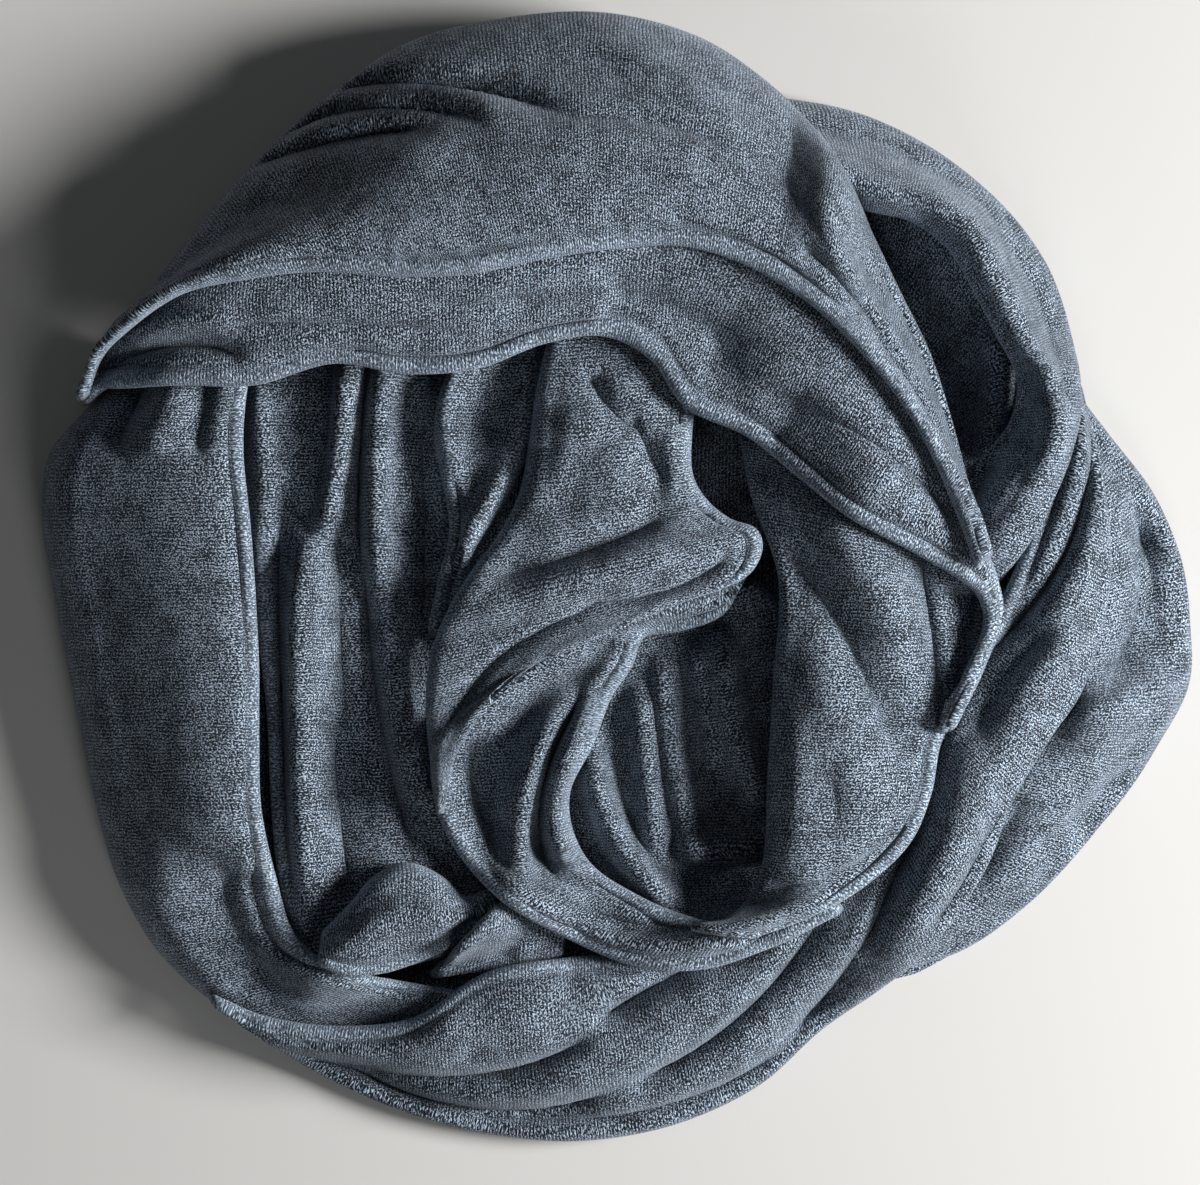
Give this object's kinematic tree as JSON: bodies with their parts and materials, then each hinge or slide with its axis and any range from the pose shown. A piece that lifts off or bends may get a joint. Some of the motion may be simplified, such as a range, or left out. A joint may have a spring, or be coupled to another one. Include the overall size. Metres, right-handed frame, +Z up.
{
  "type": "infinity scarf",
  "caption": "Infinity scarf of fine heather jersey lying in a loose round heap of soft overlapping folds, to set on a table, shelf or display.",
  "frame": {"origin": "on the table at the middle of the heap's plan", "axes": "+Z up, +X to the right and +Y away from someone who looks down at the heap, with the highest band of cloth at +Y"},
  "size_m": [0.335, 0.3272, 0.0727],
  "materials": {
    "heather_jersey": "fine charcoal blue-grey heather jersey, matt and slightly fuzzy"
  },
  "bodies": {
    "root": {"hidden_layers": "heather_jersey", "hood_lining": "heather_jersey", "outer_right_loop": "heather_jersey", "far_right_stretch": "heather_jersey", "left_stretch": "heather_jersey", "left_inner_pleats": "heather_jersey", "inner_pocket": "heather_jersey", "lower_left_curl": "heather_jersey", "curl_tails": "heather_jersey", "front_right_stretch": "heather_jersey", "centre_hollow": "heather_jersey", "inner_loop": "heather_jersey", "rosette": "heather_jersey", "centre_panel": "heather_jersey", "crown_lip": "heather_jersey", "crown_stretch": "heather_jersey"}
  },
  "joints": []
}
